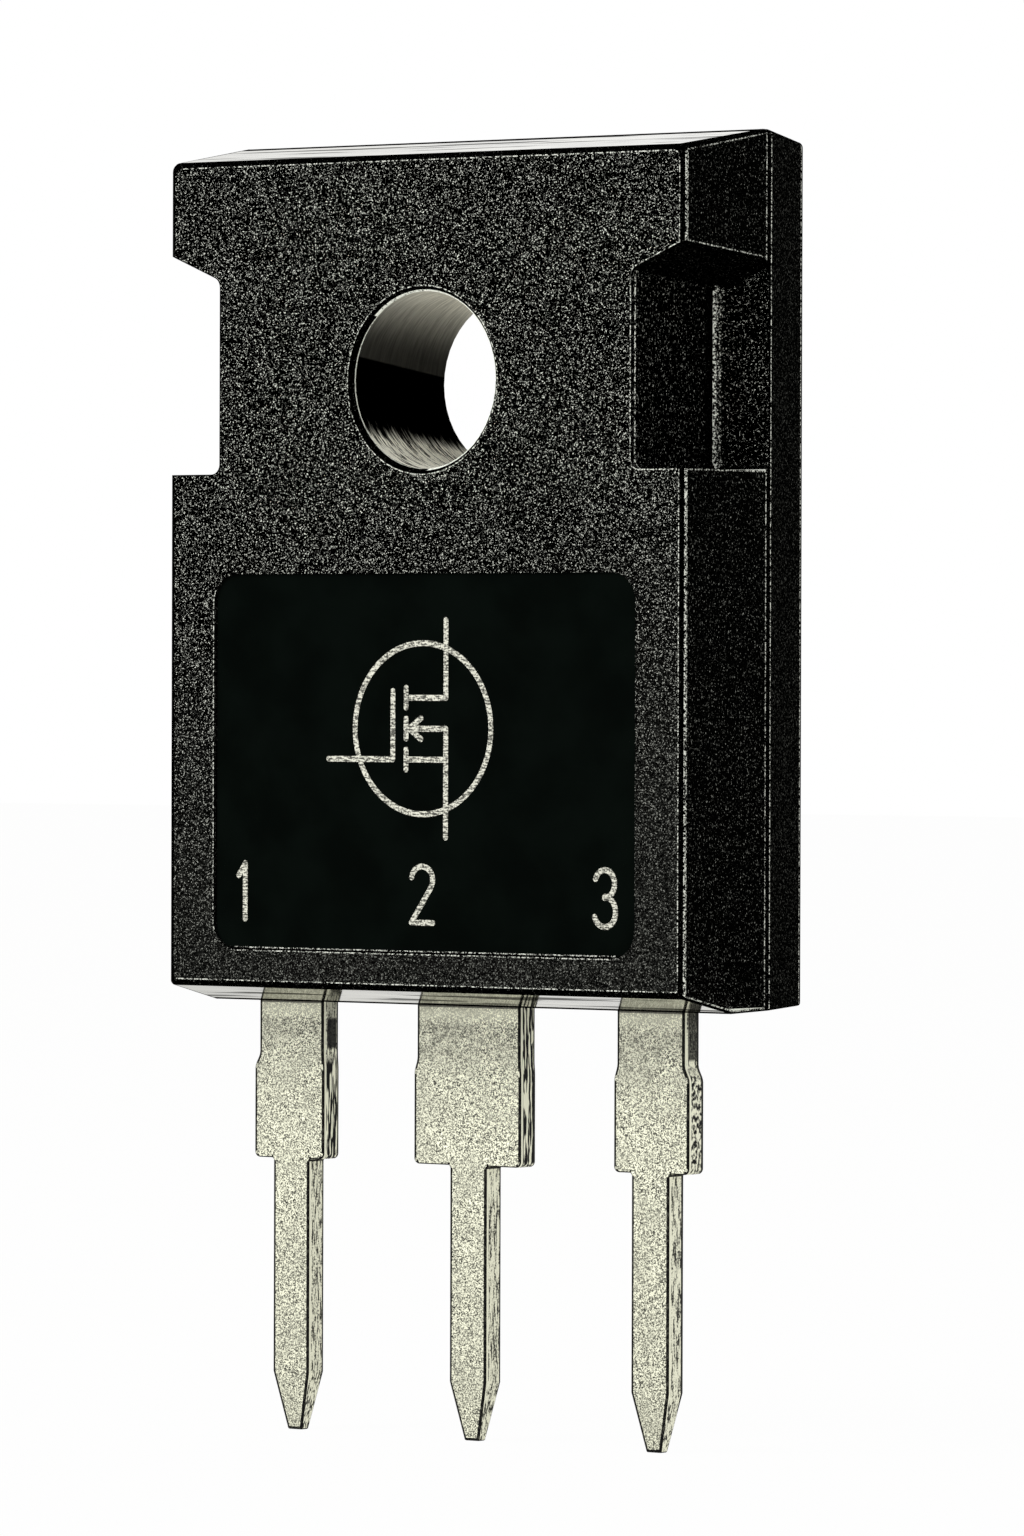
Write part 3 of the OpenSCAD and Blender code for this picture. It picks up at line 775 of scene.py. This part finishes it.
def makeMarking(s):
    # the strokes stand on the floor of the sunken panel
    floor = cadHigh.z / mm - case["panelDepth"]
    verts, faces = ribbon(symbolPaths(s["symbol"]) + digitPaths(s["digits"]), floor + s["lift"], s)
    mesh = bpy.data.meshes.new("pin_marking")
    mesh.from_pydata((np.array(verts) * mm).tolist(), [], faces)
    mesh.update()
    material, shader, w, place = newMaterial("laser_mark")
    grain = noise(w, place, s["grain"], 2.0, 0.6)
    hatch = noise(w, place, s["hatch"], 1.0, 0.5, s["hatchStretch"])
    tone = (grain * 0.5 + hatch * 0.5).step(*s["edge"]).tones(*s["levels"], s["tint"])
    plug(w, shader, "Base Color", tone)
    plug(w, shader, "Roughness", 0.8)
    plug(w, shader, "Specular IOR Level", 0.1)
    mesh.materials.append(material)
    piece = bpy.data.objects.new("pin_marking", mesh)
    scene.collection.objects.link(piece)
    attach(piece, "root")


makeMarking(marking)
print("marking drawn")


# The pieces that are sealed inside keep their own meshes. Each key is part of the names of its nodes.
hidden = {
    "silicon_die": {"name": "polished_silicon", "levels": (120, 96), "tint": (0.93, 0.97, 1.05),
                    "size": 0.5, "metallic": 0.5, "roughness": 0.2},
    "die_attach_solder": {"name": "lead_grey_solder", "levels": (165, 130), "tint": (1, 1, 1), "size": 0.15,
                          "metallic": 0.9, "roughness": 0.4},
    "bond_wire": {"name": "drawn_aluminium", "levels": (205, 176), "tint": (1, 1, 1), "size": 0.05,
                  "metallic": 1.0, "roughness": 0.3},
}


def hiddenMaterial(s):
    # bare metal or silicon with a faint grain
    material, shader, w, place = newMaterial(s["name"])
    grain = noise(w, place, s["size"], 3.0, 0.55)
    plug(w, shader, "Base Color", grain.step(0.35, 0.7).tones(*s["levels"], s["tint"]))
    plug(w, shader, "Roughness", s["roughness"] + grain * 0.15)
    plug(w, shader, "Metallic", s["metallic"])
    plug(w, shader, "Normal", bump(w, grain, 0.2, s["size"] * 0.1))
    return material


for key, settings in hidden.items():
    material = hiddenMaterial(settings)
    for nodeName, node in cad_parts.items():
        if key in nodeName:
            for slot in node.material_slots:
                slot.material = material
            if not node.material_slots:
                node.data.materials.append(material)
print("hidden pieces dressed")


# The floor, the lamps and the world.
studio = {
    "floorSize": 1600,
    "floorColour": (0.9, 0.885, 0.85, 1),
    "floorGlow": 0.97,  # share of the floor's white that no shadow reaches
    "worldFill": 0.55,  # light from all round on matt surfaces
    "lampsAim": (0, -8, 2.5),
    "key": {"place": (-170, 150, 260), "size": 260, "power": 0.7},  # power in watts
    "fill": {"place": (260, 40, 120), "size": 200, "power": 0.08},
}


def seenWhite(w):
    # 1 for camera, glossy and transmission rays, which see the white of the studio
    rays = ("Is Camera Ray", "Is Glossy Ray", "Is Transmission Ray")
    a, b, c = (w.add("ShaderNodeLightPath", out=k) for k in rays)
    return w.maths("MAXIMUM", w.maths("MAXIMUM", a, b), c)


def makeWorld(s):
    # white where it is seen, and weaker as light on matt surfaces
    world = bpy.data.worlds.new("studioWorld")
    scene.world = world
    world.use_nodes = True
    world.cycles.sampling_method = "NONE"
    w = Wire(world.node_tree)
    seen = seenWhite(w)
    background = world.node_tree.nodes["Background"]
    plug(w, background, "Color", (1, 1, 1, 1))
    plug(w, background, "Strength", seen + (1 - seen) * s["worldFill"])


def makeFloor(s):
    # the floor that the leads' tips stand on, seen only from above
    size, y = s["floorSize"] * mm / 2, cadLow.y
    mesh = bpy.data.meshes.new("studio_floor")
    corners = [(-size, y, -size), (-size, y, size), (size, y, size), (size, y, -size)]
    mesh.from_pydata(corners, [], [(0, 1, 2, 3)])
    material = bpy.data.materials.new("studio_floor_white")
    material.use_nodes = True
    tree = material.node_tree
    tree.nodes.clear()
    w = Wire(tree)
    seen = seenWhite(w)
    matt = w.add("ShaderNodeBsdfDiffuse", inputs={"Color": s["floorColour"]})
    glow = w.add("ShaderNodeEmission", inputs={"Color": (1, 1, 1, 1), "Strength": 1.0})
    white = w.add("ShaderNodeMixShader", inputs={0: seen * s["floorGlow"], 1: matt, 2: glow})
    clear = w.add("ShaderNodeBsdfTransparent")
    under = w.add("ShaderNodeNewGeometry", out="Backfacing")
    both = w.add("ShaderNodeMixShader", inputs={0: under, 1: white, 2: clear})
    plug(w, tree.nodes.new("ShaderNodeOutputMaterial"), "Surface", both)
    mesh.materials.append(material)
    floor = bpy.data.objects.new("studio_floor", mesh)
    scene.collection.objects.link(floor)


def makeLamp(name, s, aim):
    # a round lamp that faces the place it is aimed at
    data = bpy.data.lights.new(name, "AREA")
    data.shape, data.size, data.energy = "DISK", s["size"] * mm, s["power"]
    lamp = bpy.data.objects.new(name, data)
    scene.collection.objects.link(lamp)
    lamp.location = Vector(s["place"]) * mm
    lamp.rotation_mode = "QUATERNION"
    lamp.rotation_quaternion = (lamp.location - Vector(aim) * mm).to_track_quat("Z", "Y")


makeWorld(studio)
makeFloor(studio)
makeLamp("keyLamp", studio["key"], studio["lampsAim"])
makeLamp("fillLamp", studio["fill"], studio["lampsAim"])
print("studio lit")
